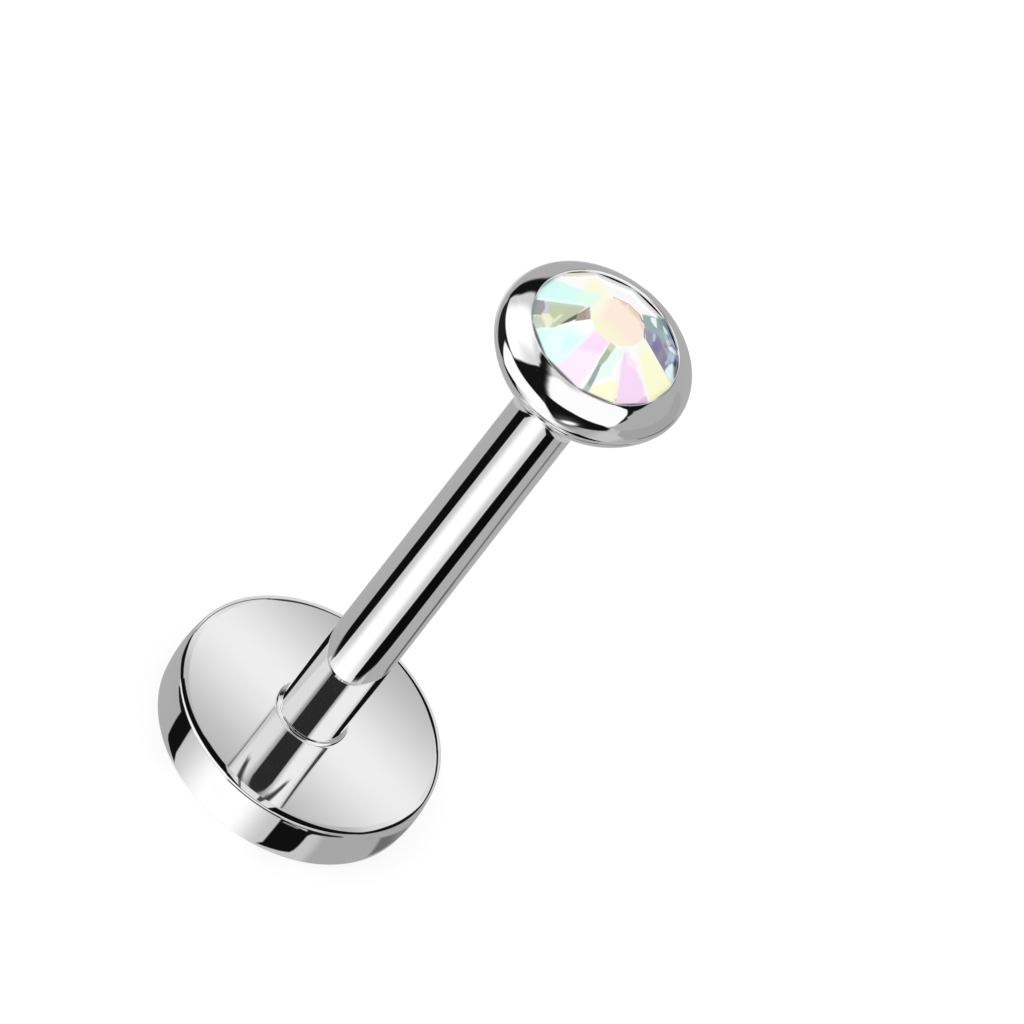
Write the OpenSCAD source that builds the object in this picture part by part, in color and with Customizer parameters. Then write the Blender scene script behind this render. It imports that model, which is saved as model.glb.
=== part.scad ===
// Labret stud: a flat disc back carries a hollow post, and a faceted stone sits in
// a round bezel whose plain pin pushes into the post from above. The stud stands on
// its disc. Millimetres, +Z up, origin at the centre of the disc's underside.

/* [Disc back] */
// Diameter of the disc
disc_d = 4.09; // [3.5:0.01:6]
// Thickness of the disc
disc_t = 0.8; // [0.6:0.05:1.2]
// Radius of the small corner between the disc's side wall and each face
disc_corner_r = 0.04; // [0.02:0.005:0.1]
// Radius of the soft fall of each face towards that corner
disc_fall_r = 0.26; // [0.15:0.01:0.4]
// Angle through which each face falls before the corner
disc_fall_angle = 20; // [10:1:30]
// Radius of the slight outward swell of the disc's side wall
disc_swell_r = 2.2; // [1:0.1:10]

/* [Post] */
// Outside diameter of the hollow post
post_d = 1; // [0.9:0.02:1.2]
// Length of the post above the disc
post_len = 8.25; // [6:0.25:12]
// Diameter of the bore that takes the pin
bore_d = 0.62; // [0.6:0.01:0.66]
// Radius of the small weld fillet where the post meets the disc
weld_r = 0.07; // [0.03:0.01:0.15]
// Radius of the rounding on the post's mouth, outside and inside
mouth_r = 0.04; // [0.01:0.01:0.05]

/* [Bezel] */
// Largest diameter of the bezel, at its waist
bezel_d = 2.98; // [2.9:0.01:3.3]
// Depth of the bezel's flat underside below its waist
bezel_drop = 0.7; // [0.6:0.01:0.8]
// Radius of the wall just below the waist
belly_r = 0.28; // [0.2:0.01:0.4]
// Angle below the waist where the wall runs into the flatter bowl
belly_angle = 22; // [15:1:30]
// Radius of the flatter bowl
bowl_r = 1.25; // [1.1:0.05:1.6]
// Radius of the rounding round the flat underside
foot_r = 0.15; // [0.05:0.01:0.25]
// Radius of the wall just above the waist
shoulder_r = 0.38; // [0.34:0.01:0.45]
// Angle above the waist where the shoulder runs into the rim
shoulder_angle = 45; // [35:1:50]
// Radius of the rim that turns in over the stone
rim_r = 0.645; // [0.55:0.005:0.75]
// Inside diameter of the rim's lip
lip_d = 2.26; // [2.22:0.01:2.3]
// Radius of the lip's rounded tip
lip_tip_r = 0.015; // [0.01:0.001:0.02]

/* [Pin] */
// Diameter of the plain pin under the bezel
pin_d = 0.48; // [0.4:0.01:0.56]
// Length of the pin
pin_len = 4.75; // [3:0.25:5.5]
// Radius of the rounding on the pin's tip
pin_tip_r = 0.06; // [0.02:0.01:0.15]
// Radius of the solder fillet at the pin's root
pin_root_r = 0.03; // [0.01:0.005:0.03]

/* [Stone] */
// Number of flat facets round the stone
facets = 12; // [8:1:12]
// Turn of the facets about the post
facet_turn = 5; // [0:1:45]
// Diameter of the stone at its girdle, across the corners
gem_d = 2.38; // [2.34:0.01:2.42]
// Diameter of the flat table, across the corners
table_d = 0.83; // [0.6:0.01:1.2]
// Height of the crown, from the girdle to the table
crown_h = 0.472; // [0.44:0.002:0.5]
// Thickness of the girdle
girdle_t = 0.03; // [0.02:0.01:0.05]
// Depth of the pointed underside
pavilion_h = 0.68; // [0.5:0.01:0.75]
// Height of the girdle's top edge above the bezel's waist
gem_rise = 0.318; // [0.3:0.002:0.322]

/* [Fits] */
// Gap between the post's mouth and the bezel's underside
seat_gap = 0.02; // [0.01:0.01:0.05]
// Gap all round the stone in its cup
gem_gap = 0.02; // [0.01:0.005:0.025]

/* [Hidden] */
$fn = 96;
// Number of straight steps that stand for one rounded stretch of an outline
arc_steps = 8;

disc_r = disc_d/2;
post_r = post_d/2;
bore_r = bore_d/2;
pin_r = pin_d/2;
lip_r = lip_d/2;
gem_r = gem_d/2;
post_top = disc_t + post_len;

// The side wall's swell, the corner and the face's fall run smoothly into each other
fall_end = 90 - disc_fall_angle;
fall_reach = disc_fall_r - disc_corner_r;
swell_reach = disc_swell_r - disc_corner_r;
corner_rise = disc_t/2 - disc_fall_r + fall_reach*sin(fall_end);
swell_c = [disc_r - disc_swell_r, disc_t/2];
swell_angle = asin(corner_rise/swell_reach);
corner_c = swell_c + swell_reach*dir(swell_angle);
fall_c = corner_c - fall_reach*dir(fall_end);

// The bezel's stretches share a tangent where they meet, counted from the waist
foot_z = post_top + seat_gap;
waist_z = foot_z + bezel_drop;
belly_c = [bezel_d/2 - belly_r, waist_z];
bowl_c = belly_c + (belly_r - bowl_r)*dir(-belly_angle);
foot_angle = -asin((bowl_c.y - foot_z - foot_r)/(bowl_r - foot_r));
foot_c = bowl_c + (bowl_r - foot_r)*dir(foot_angle);
shoulder_c = [bezel_d/2 - shoulder_r, waist_z];
rim_c = shoulder_c + (shoulder_r - rim_r)*dir(shoulder_angle);
tip_angle = acos((lip_r + lip_tip_r - rim_c.x)/(rim_r - lip_tip_r));
tip_c = rim_c + (rim_r - lip_tip_r)*dir(tip_angle);

// The stone's levels, and the cup that follows it at the gap
girdle_top = waist_z + gem_rise;
girdle_low = girdle_top - girdle_t;
crown_slope = crown_h/(gem_r - table_d/2);
cup_r = gem_r + gem_gap;
under_lip_z = girdle_top + gem_gap*sqrt(1 + crown_slope^2);
lip_wall_z = under_lip_z + (gem_r - lip_r)*crown_slope;
cup_wall_z = under_lip_z + (gem_r - cup_r)*crown_slope;
cup_gap_z = gem_gap*sqrt(1 + (pavilion_h/gem_r)^2);
cup_low_z = girdle_low - cup_gap_z + gem_gap*pavilion_h/gem_r;
cup_point_z = girdle_low - pavilion_h - cup_gap_z;

function dir(angle) = [cos(angle), sin(angle)];

// Points of an arc about c; skip = 1 leaves out the point shared with the stretch before
function arc(c, r, from, to, skip = 0) =
    [for (i = [skip:arc_steps]) c + r*dir(from + (to - from)*i/arc_steps)];

// Half section of the disc and post, from the axis round the outside and down the bore
function disc_post_outline() = concat(
    [[0, 0]],
    arc([fall_c.x, disc_fall_r], disc_fall_r, -90, -fall_end),
    arc([corner_c.x, disc_t - corner_c.y], disc_corner_r, -fall_end, -swell_angle, 1),
    arc(swell_c, disc_swell_r, -swell_angle, swell_angle, 1),
    arc(corner_c, disc_corner_r, swell_angle, fall_end, 1),
    arc(fall_c, disc_fall_r, fall_end, 90, 1),
    arc([post_r + weld_r, disc_t + weld_r], weld_r, 270, 180),
    arc([post_r - mouth_r, post_top - mouth_r], mouth_r, 0, 90),
    arc([bore_r + mouth_r, post_top - mouth_r], mouth_r, 90, 180),
    [[bore_r, disc_t], [0, disc_t]]
);

// Half section of the bezel and pin, from the pin's tip round the bezel into its cup
function bezel_pin_outline() = concat(
    [[0, foot_z - pin_len]],
    arc([pin_r - pin_tip_r, foot_z - pin_len + pin_tip_r], pin_tip_r, -90, 0),
    arc([pin_r + pin_root_r, foot_z - pin_root_r], pin_root_r, 180, 90),
    arc(foot_c, foot_r, -90, foot_angle),
    arc(bowl_c, bowl_r, foot_angle, -belly_angle, 1),
    arc(belly_c, belly_r, -belly_angle, 0, 1),
    arc(shoulder_c, shoulder_r, 0, shoulder_angle, 1),
    arc(rim_c, rim_r, shoulder_angle, tip_angle, 1),
    arc(tip_c, lip_tip_r, tip_angle, 180, 1),
    [[lip_r, lip_wall_z], [cup_r, cup_wall_z], [cup_r, cup_low_z], [0, cup_point_z]]
);

// Disc back with the hollow post welded to it
module disc_post() {
    color("silver")
        rotate_extrude()
            polygon(disc_post_outline());
}

// Bezel with its cup for the stone, and the plain pin soldered under it
module bezel_pin() {
    color("gainsboro")
        rotate_extrude()
            polygon(bezel_pin_outline());
}

// Stone with a flat table, a ring of crown facets, a thin girdle and a pointed underside
module gem() {
    color("lavenderblush")
        rotate([0, 0, facet_turn]) {
            translate([0, 0, girdle_top])
                cylinder(h = crown_h, r1 = gem_r, r2 = table_d/2, $fn = facets);
            translate([0, 0, girdle_low])
                cylinder(h = girdle_t, r = gem_r, $fn = facets);
            translate([0, 0, girdle_low - pavilion_h])
                cylinder(h = pavilion_h, r1 = 0, r2 = gem_r, $fn = facets);
        }
}

disc_post();
bezel_pin();
gem();
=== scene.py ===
import math

import bpy
import numpy as np
from mathutils import Matrix, Vector


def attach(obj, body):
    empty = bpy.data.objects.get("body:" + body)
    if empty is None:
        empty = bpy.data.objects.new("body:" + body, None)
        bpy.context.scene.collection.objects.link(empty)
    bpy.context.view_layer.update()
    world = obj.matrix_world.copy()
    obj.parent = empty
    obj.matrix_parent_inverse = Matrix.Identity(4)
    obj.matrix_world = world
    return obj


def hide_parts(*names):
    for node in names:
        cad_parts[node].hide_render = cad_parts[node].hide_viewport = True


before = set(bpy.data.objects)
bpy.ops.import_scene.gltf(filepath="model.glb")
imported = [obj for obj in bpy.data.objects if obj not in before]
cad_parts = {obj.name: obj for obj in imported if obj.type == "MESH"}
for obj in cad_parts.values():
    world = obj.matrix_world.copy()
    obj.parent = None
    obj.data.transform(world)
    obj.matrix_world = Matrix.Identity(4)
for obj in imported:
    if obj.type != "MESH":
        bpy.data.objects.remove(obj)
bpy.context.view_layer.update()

mm = 0.001
scene = bpy.context.scene
scene.view_settings.view_transform = "Standard"
scene.view_settings.look = "None"


# colours are given as a picture shows them, 0 to 255
def toLinear(tone):
    c = np.clip(np.asarray(tone, float) / 255, 0, None)
    return np.where(c <= 0.04045, c / 12.92, ((c + 0.055) / 1.055) ** 2.4)


def addObject(name, mesh):
    obj = bpy.data.objects.new(name, mesh)
    scene.collection.objects.link(obj)
    return obj


# an input takes a value, a node's output, or a node, which stands for its first output
def feed(node, numbered=None, **named):
    given = {**(numbered or {}), **{key.replace("_", " "): value for key, value in named.items()}}
    for key, value in given.items():
        if isinstance(value, bpy.types.Node):
            value = value.outputs[0]
        if isinstance(value, bpy.types.NodeSocket):
            node.id_data.links.new(value, node.inputs[key])
        else:
            node.inputs[key].default_value = value


def addNode(tree, kind, at=(0, 0), settings=None, numbered=None, **named):
    node = tree.nodes.new(kind)
    node.location = at
    for key, value in (settings or {}).items():
        setattr(node, key, value)
    feed(node, numbered, **named)
    return node


def addMath(tree, operation, at, *values):
    return addNode(tree, "ShaderNodeMath", at, {"operation": operation}, dict(enumerate(values)))


def addSockets(tree, inOut, **kinds):
    for name, kind in kinds.items():
        tree.interface.new_socket(name=name.replace("_", " "), in_out=inOut, socket_type="NodeSocket" + kind)


def newMaterial(name):
    material = bpy.data.materials.new(name)
    material.use_nodes = True
    tree = material.node_tree
    return material, tree, tree.nodes["Principled BSDF"]


# camera: the photograph is a parallel view, from 45 degrees above the disc

view = {
    "aim": (0.465, 0, 6.348),  # mm
    "elevation": 45,
    "roll": 37.98,             # degrees, the post leans to the right
    "width": 14.225,           # mm across the picture
    "distance": 60,
    "clip": (0.001, 20),       # metres
}
tilt = math.radians(view["elevation"])
toCamera = np.array([0, -math.cos(tilt), math.sin(tilt)])


def makeCamera(v):
    data = bpy.data.cameras.new("camera")
    data.type = "ORTHO"
    data.ortho_scale = v["width"] * mm
    data.clip_start, data.clip_end = v["clip"]
    cam = addObject("camera", data)
    roll = math.radians(v["roll"])
    back = Vector(toCamera)
    level, rise = Vector((1, 0, 0)), Vector((0, math.sin(tilt), math.cos(tilt)))
    right = level * math.cos(roll) + rise * math.sin(roll)
    up = rise * math.cos(roll) - level * math.sin(roll)
    turn = Matrix((right, up, back)).transposed().to_4x4()
    cam.matrix_world = Matrix.Translation((Vector(v["aim"]) + back * v["distance"]) * mm) @ turn
    scene.camera = cam


makeCamera(view)
print("camera placed")


# soft-edged patches, used for the studio's cards and for the colours in the stone

def softStep(width, distance):
    t = np.clip(distance / max(width, 1e-9) + 0.5, 0, 1)
    return t * t * (3 - 2 * t)


def panelMask(u, v, corners, soft):
    n = len(corners)
    ahead = [corners[(i + 1) % n] for i in range(n)]
    winding = sum(p[0] * q[1] - q[0] * p[1] for p, q in zip(corners, ahead))
    inside = np.full(u.shape, 1e9)
    for p, q in zip(corners, ahead):
        dx, dy = q[0] - p[0], q[1] - p[1]
        away = (dx * (v - p[1]) - dy * (u - p[0])) / math.hypot(dx, dy)
        inside = np.minimum(inside, math.copysign(1, winding) * away)
    return softStep(soft, inside)


def padMask(u, v, centre, size, soft, turn=0):
    c, s = math.cos(math.radians(turn)), math.sin(math.radians(turn))
    du, dv = u - centre[0], v - centre[1]
    a, b = np.abs(du * c + dv * s) / size[0], np.abs(dv * c - du * s) / size[1]
    reach = (a ** 2 + b ** 2) ** 0.5
    return softStep(soft, (1 - reach) * min(size))


def patchMask(u, v, patch):
    shape = {key: value for key, value in patch.items() if key not in ("tone", "mix", "within")}
    return panelMask(u, v, **shape) if "corners" in shape else padMask(u, v, **shape)


def paintPatches(u, v, base, patches):
    tone = np.zeros(u.shape + np.shape(base)) + np.asarray(base, float)
    for patch in patches:
        mask = patchMask(u, v, patch) * patch.get("mix", 1)
        if "within" in patch:
            mask = mask * patchMask(u, v, patch["within"])
        if np.ndim(base):
            mask = mask[..., None]
        tone = tone + (np.asarray(patch["tone"], float) - tone) * mask
    return tone


def gridFaces(rows, columns, closed=True):
    faces = []
    for low in range(0, (rows - 1) * columns, columns):
        high = low + columns
        for j in range(columns if closed else columns - 1):
            k = (j + 1) % columns
            faces.append((low + j, low + k, high + k, high + j))
    return faces


# turned pieces: an outline in radius and height, turned round the post's axis

def onCircle(centre, radius, angle):
    a = math.radians(angle)
    return (centre[0] + radius * math.cos(a), centre[1] + radius * math.sin(a))


def arcPoints(centre, radius, start, end, steps=12):
    return [onCircle(centre, radius, a) for a in np.linspace(start, end, steps + 1)]


def straight(start, end, margin=0.012):
    (x0, y0), (x1, y1) = start, end
    length = math.hypot(x1 - x0, y1 - y0)
    if length < 3 * margin:
        return [start, end]
    t = margin / length
    near = (x0 + (x1 - x0) * t, y0 + (y1 - y0) * t)
    far = (x1 - (x1 - x0) * t, y1 - (y1 - y0) * t)
    return [start, near, far, end]


def joinOutline(parts, same=1e-6):
    points = []
    for part in parts:
        start = [points[-1], part[0]] if points else []
        if points and math.dist(*start) > same:
            points += straight(*start)[1:-1]
        points += [p for k, p in enumerate(part) if k or not points or math.dist(points[-1], p) > same]
    return points


def addValues(mesh, name, values):
    mesh.attributes.new(name, "FLOAT", "POINT").data.foreach_set("value", np.array(values, np.float32))


def outlineMesh(name, points, cupShade):
    mesh = bpy.data.meshes.new(name)
    edges = [(i, i + 1) for i in range(len(points) - 1)]
    mesh.from_pydata([(x * mm, 0, z * mm) for x, z in points], edges, [])
    steps = [math.dist(p, q) for p, q in zip(points, points[1:])]
    addValues(mesh, "along", np.concatenate(([0], np.cumsum(steps))) / sum(steps))
    addValues(mesh, "cupShade", cupShade)
    return mesh


turning = {"crease": 40, "join": 1e-7}  # degrees, and metres


def turningTree():
    tree = bpy.data.node_groups.new("turnedPiece", "GeometryNodeTree")
    tree.is_modifier = True
    addSockets(tree, "INPUT", Outline="Geometry", Steps_round="Int", Crease_angle="Float",
               Join_distance="Float", Finish="Material")
    addSockets(tree, "OUTPUT", Piece="Geometry")
    start = addNode(tree, "NodeGroupInput", (-1400, 0))

    def outlineValue(name, at):
        return addNode(tree, "GeometryNodeInputNamedAttribute", at, {"data_type": "FLOAT"}, Name=name)

    def atPlace(value, kind, at):
        return addNode(tree, "GeometryNodeSampleIndex", at, {"data_type": kind}, Value=value,
                       Geometry=start.outputs["Outline"], Index=place)

    count = addNode(tree, "GeometryNodeAttributeDomainSize", (-1200, -200), Geometry=start.outputs["Outline"])
    rings = addMath(tree, "ADD", (-1200, 200), start.outputs["Steps round"], 1)
    grid = addNode(tree, "GeometryNodeMeshGrid", (-1000, 200), Vertices_X=rings, Vertices_Y=count)

    # a grid point's number gives its place on the outline and its turn
    number = addNode(tree, "GeometryNodeInputIndex", (-1200, -400))
    place, ring = [addNode(tree, "FunctionNodeIntegerMath", at, {"operation": operation},
                           {0: number, 1: count})
                   for at, operation in (((-1000, -300), "MODULO"), ((-1000, -500), "DIVIDE"))]
    part = addMath(tree, "DIVIDE", (-800, -500), ring, start.outputs["Steps round"])
    angle = addMath(tree, "MULTIPLY", (-600, -500), part, 2 * math.pi)
    position = addNode(tree, "GeometryNodeInputPosition", (-1000, -100))
    point = atPlace(position, "FLOAT_VECTOR", (-800, -100))
    length = atPlace(outlineValue("along", (-1000, -700)), "FLOAT", (-800, -700))
    dark = atPlace(outlineValue("cupShade", (-1000, -900)), "FLOAT", (-800, -900))
    turned = addNode(tree, "ShaderNodeVectorRotate", (-400, -200), {"rotation_type": "Z_AXIS"}, Vector=point,
                     Angle=angle)

    # the map runs round the piece in one direction and along its outline in the other
    flat = addNode(tree, "ShaderNodeCombineXYZ", (-400, -600), X=part, Y=length)
    stored = addNode(tree, "GeometryNodeStoreNamedAttribute", (-200, 200),
                     {"data_type": "FLOAT2", "domain": "CORNER"},
                     Name="turnedMap", Geometry=grid, Value=flat)
    # each point keeps the outline's mark for painted shade inside the cup
    marked = addNode(tree, "GeometryNodeStoreNamedAttribute", (-100, 400),
                     {"data_type": "FLOAT", "domain": "POINT"},
                     Name="cupShade", Geometry=stored, Value=dark)
    placed = addNode(tree, "GeometryNodeSetPosition", (0, 200), Geometry=marked, Position=turned)

    joined = addNode(tree, "GeometryNodeMergeByDistance", (200, 200), Geometry=placed,
                     Distance=start.outputs["Join distance"])
    crease = addNode(tree, "GeometryNodeInputMeshEdgeAngle", (200, -200))
    sharp = addMath(tree, "GREATER_THAN", (400, -200), crease.outputs["Unsigned Angle"],
                    start.outputs["Crease angle"])
    smooth = addNode(tree, "GeometryNodeSetShadeSmooth", (400, 200), {"domain": "FACE"},
                     Geometry=joined, Shade_Smooth=True)
    creased = addNode(tree, "GeometryNodeSetShadeSmooth", (600, 200), {"domain": "EDGE"},
                      Geometry=smooth, Shade_Smooth=False, Selection=sharp)
    real = addNode(tree, "GeometryNodeRealizeInstances", (800, 200), Geometry=creased)
    finish = addNode(tree, "GeometryNodeSetMaterial", (1000, 200), Geometry=real,
                     Material=start.outputs["Finish"])
    addNode(tree, "NodeGroupOutput", (1400, 0), numbered={0: finish})
    return tree


def turnPiece(name, points, cupShade, tree, material, steps):
    maker = addObject(name + "_outline", outlineMesh(name + "_outline", points, cupShade))
    modifier = maker.modifiers.new("turned", "NODES")
    modifier.node_group = tree
    values = {"Steps round": steps, "Crease angle": math.radians(turning["crease"]),
              "Join distance": turning["join"], "Finish": material}
    for item in tree.interface.items_tree:
        if item.item_type == "SOCKET" and item.in_out == "INPUT" and item.name in values:
            modifier[item.identifier] = values[item.name]
    bpy.context.view_layer.update()
    graph = bpy.context.evaluated_depsgraph_get()
    mesh = bpy.data.meshes.new_from_object(maker.evaluated_get(graph))
    mesh.name = name
    bpy.data.objects.remove(maker)
    piece = addObject(name, mesh)
    print(name, "turned,", len(mesh.polygons), "faces")
    return piece


# finishes

polish = {
    "round": 5, "lineDetail": 3.0, "lineBreak": 0.6, "lineShare": 0.6,
    "hazeDetail": 4.0, "hazeBreak": 0.55, "hazeFrom": 0.52, "hazeTo": 0.78,
    "brightBelow": 0.2, "dullAbove": 1.2,
}


def polishGroup(p):
    group = bpy.data.node_groups.new("polishMarks", "ShaderNodeTree")
    addSockets(group, "INPUT", Map="Vector", Place="Vector", Lines="Float", Dull="Float", Bright="Float",
               Haze_size="Float")
    addSockets(group, "OUTPUT", Roughness="Float", Height="Float", Haze="Float")
    start = addNode(group, "NodeGroupInput", (-800, 0))
    split = addNode(group, "ShaderNodeSeparateXYZ", (-600, 100), numbered={0: start.outputs["Map"]})
    # fine lines round the piece, left by the polishing wheel
    across = addMath(group, "MULTIPLY", (-400, 0), split.outputs["Y"], start.outputs["Lines"])
    along = addMath(group, "MULTIPLY", (-400, 200), split.outputs["X"], p["round"])
    strip = addNode(group, "ShaderNodeCombineXYZ", (-200, 100), X=along, Y=across)
    lines = addNode(group, "ShaderNodeTexNoise", (0, 100), Vector=strip, Scale=1.0,
                    Detail=p["lineDetail"], Roughness=p["lineBreak"])
    # and a faint haze from handling
    haze = addNode(group, "ShaderNodeTexNoise", (0, -200), Vector=start.outputs["Place"],
                   Scale=start.outputs["Haze size"], Detail=p["hazeDetail"], Roughness=p["hazeBreak"])
    spots = addNode(group, "ShaderNodeMapRange", (200, -200), Value=haze,
                    From_Min=p["hazeFrom"], From_Max=p["hazeTo"])
    both = addMath(group, "MULTIPLY_ADD", (400, 0), lines, p["lineShare"], spots)
    rough = addNode(group, "ShaderNodeMapRange", (600, 0), Value=both,
                    From_Min=p["brightBelow"], From_Max=p["dullAbove"],
                    To_Min=start.outputs["Bright"], To_Max=start.outputs["Dull"])
    addNode(group, "NodeGroupOutput", (800, 0), Roughness=rough, Height=lines, Haze=spots)
    return group


def mixTones(tree, at, factor, first, second):
    return addNode(tree, "ShaderNodeMix", at, {"data_type": "RGBA"}, {6: first, 7: second}, Factor=factor)


def steelFinish(name, colour, hazed, cupShade, bright, dull, lines, hazeSize, bump, bumpDepth):
    material, tree, shader = newMaterial(name)
    spread = addNode(tree, "ShaderNodeUVMap", (-900, 100), {"uv_map": "turnedMap"})
    where = addNode(tree, "ShaderNodeTexCoord", (-900, -100))
    marks = addNode(tree, "ShaderNodeGroup", (-600, 0), {"node_tree": polishMarks},
                    Map=spread, Place=where.outputs["Object"],
                    Lines=lines, Bright=bright, Dull=dull, Haze_size=hazeSize)
    metal = mixTones(tree, (-300, 200), marks.outputs["Haze"], colour, hazed)
    # painted shade: the metal inside the cup, in the groove round the stone, is painted dark
    grooveShade = addNode(tree, "ShaderNodeAttribute", (-300, 500), {"attribute_name": "cupShade"})
    shadedGroove = mixTones(tree, (-100, 300), grooveShade.outputs["Fac"], metal.outputs[2], cupShade)
    raised = addNode(tree, "ShaderNodeBump", (-300, -200), Height=marks.outputs["Height"],
                     Strength=bump, Distance=bumpDepth)
    feed(shader, Metallic=1, Base_Color=shadedGroove.outputs[2], Roughness=marks.outputs["Roughness"],
         Normal=raised)
    return material


# cupShade is the colour of the painted shade inside the bezel's cup
steel = {
    "colour": (0.90, 0.90, 0.905, 1), "hazed": (0.88, 0.88, 0.88, 1), "cupShade": (0.05, 0.05, 0.05, 1),
    "bright": 0.02, "dull": 0.06, "lines": 900, "hazeSize": 2600, "bump": 0.05, "bumpDepth": 2e-7,
}
polishMarks = polishGroup(polish)
postSteel = steelFinish("mirror steel, post", **steel)
bezelSteel = steelFinish("mirror steel, bezel", **{**steel, "lines": 600})
turnedPiece = turningTree()


# disc with its hollow post

disc = {  # mm
    "radius": 2.0398, "thick": 0.8, "swell": 2.2, "corner": 0.04, "fall": 0.26, "fallAngle": 20,
    "postRadius": 0.5, "postLength": 8.25, "boreRadius": 0.31,
    "weld": 0.07, "mouth": 0.04, "steps": 300,
}


# side wall, small corner and the face's soft fall, from half way up to the top
def discArcs(d):
    half, reach = d["thick"] / 2, d["swell"] - d["corner"]
    end = 90 - d["fallAngle"]
    rise = half - d["fall"] + (d["fall"] - d["corner"]) * math.sin(math.radians(end))
    lean = math.degrees(math.asin(rise / reach))
    swell = (d["radius"] - d["swell"], half)
    corner = onCircle(swell, reach, lean)
    fall = onCircle(corner, d["corner"] - d["fall"], end)
    return [(swell, d["swell"], 0, lean), (corner, d["corner"], lean, end), (fall, d["fall"], end, 90)]


def discOutline(d):
    top = d["thick"] + d["postLength"]
    foot = d["postRadius"] + d["weld"]
    lip = d["mouth"]
    arcs = discArcs(d)
    under = [arcPoints((c[0], d["thick"] - c[1]), r, -b, -a) for c, r, a, b in reversed(arcs)]
    return joinOutline([[(0, 0)]] + under + [arcPoints(*arc) for arc in arcs] + [
        arcPoints((foot, d["thick"] + d["weld"]), d["weld"], 270, 180, 10),
        arcPoints((d["postRadius"] - lip, top - lip), lip, 0, 90, 8),
        arcPoints((d["boreRadius"] + lip, top - lip), lip, 90, 180, 8),
        [(d["boreRadius"], d["thick"])],
        [(0, d["thick"])],
    ])


discPoints = discOutline(disc)
discCupShade = [0] * len(discPoints)
discPost = turnPiece("disc_post_smooth", discPoints, discCupShade, turnedPiece, postSteel, disc["steps"])
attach(discPost, "post")
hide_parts("disc_post")


# bezel with its pin

bezel = {  # mm
    "radius": 1.49, "foot": 9.07, "drop": 0.7,
    "footRound": 0.15, "bowl": 1.25, "belly": 0.28, "bellyAngle": 22,
    "shoulder": 0.38, "shoulderAngle": 45, "rim": 0.645,
    "lipRadius": 1.13, "lipRound": 0.015,
    "cupRadius": 1.21, "cupWallTop": 10.099, "lipWallEnd": 10.148, "cupWallLow": 10.046, "cupPoint": 9.355,
    "pinRadius": 0.24, "pinLength": 4.75, "pinTip": 0.06, "pinRoot": 0.03, "steps": 300,
}


def bezelOutline(b):
    waist = b["foot"] + b["drop"]
    belly = (b["radius"] - b["belly"], waist)
    bowl = onCircle(belly, b["belly"] - b["bowl"], -b["bellyAngle"])
    bowlReach = b["bowl"] - b["footRound"]
    footAngle = -math.degrees(math.asin((bowl[1] - b["foot"] - b["footRound"]) / bowlReach))
    foot = onCircle(bowl, bowlReach, footAngle)
    shoulder = (b["radius"] - b["shoulder"], waist)
    rim = onCircle(shoulder, b["shoulder"] - b["rim"], b["shoulderAngle"])
    lipReach = b["rim"] - b["lipRound"]
    lipAngle = math.degrees(math.acos((b["lipRadius"] + b["lipRound"] - rim[0]) / lipReach))
    lip = onCircle(rim, lipReach, lipAngle)
    pin, tip, root = b["pinRadius"], b["pinTip"], b["pinRoot"]
    # an arc ends with its number of steps
    outside = [
        [(0, b["foot"] - b["pinLength"])],
        arcPoints((pin - tip, b["foot"] - b["pinLength"] + tip), tip, -90, 0, 8),
        arcPoints((pin + root, b["foot"] - root), root, 180, 90, 6),
        arcPoints(foot, b["footRound"], -90, footAngle, 14),
        arcPoints(bowl, b["bowl"], footAngle, -b["bellyAngle"], 24),
        arcPoints(belly, b["belly"], -b["bellyAngle"], 0, 12),
        arcPoints(shoulder, b["shoulder"], 0, b["shoulderAngle"], 16),
        arcPoints(rim, b["rim"], b["shoulderAngle"], lipAngle, 24),
        arcPoints(lip, b["lipRound"], lipAngle, 180, 8),
        [(b["lipRadius"], b["lipWallEnd"])],
    ]
    # the cup's points are marked for painted shade, so the metal inside the cup is painted dark
    cup = [[(b["cupRadius"], b["cupWallTop"])], [(b["cupRadius"], b["cupWallLow"])], [(0, b["cupPoint"])]]
    points = joinOutline(outside + cup)
    shown = len(joinOutline(outside))
    return points, [0] * shown + [1] * (len(points) - shown)


bezelPoints, bezelCupShade = bezelOutline(bezel)
bezelPin = turnPiece("bezel_pin_smooth", bezelPoints, bezelCupShade, turnedPiece, bezelSteel, bezel["steps"])
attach(bezelPin, "stone_end")
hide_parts("bezel_pin")


# stone: twelve facets round a table, with painted reflections: the colours, glints and dark patches that the
# coating throws inside it are painted on the facets

stone = {  # mm
    "radius": 1.19, "tableRadius": 0.415, "girdleTop": 10.088, "girdle": 0.03,
    "crown": 0.472, "pavilion": 0.68, "facets": 12, "turn": 5,
    "stepsPerFacet": 48, "crownRings": 60, "tableRings": 14,
    # edge: where the painted groove shade begins on the crown; grooveShade: its dark colour
    "edgeCentre": (0.5, 5.5), "edgeRadius": 97, "edgeSoft": 1.8,  # hundredths of the radius
    "grooveShade": (74, 72, 68), "baseShare": 0.3, "glow": 0.66, "rough": 0.12, "bend": 1.54,
    "coat": 0.4, "coatRough": 0.02,
}

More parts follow.
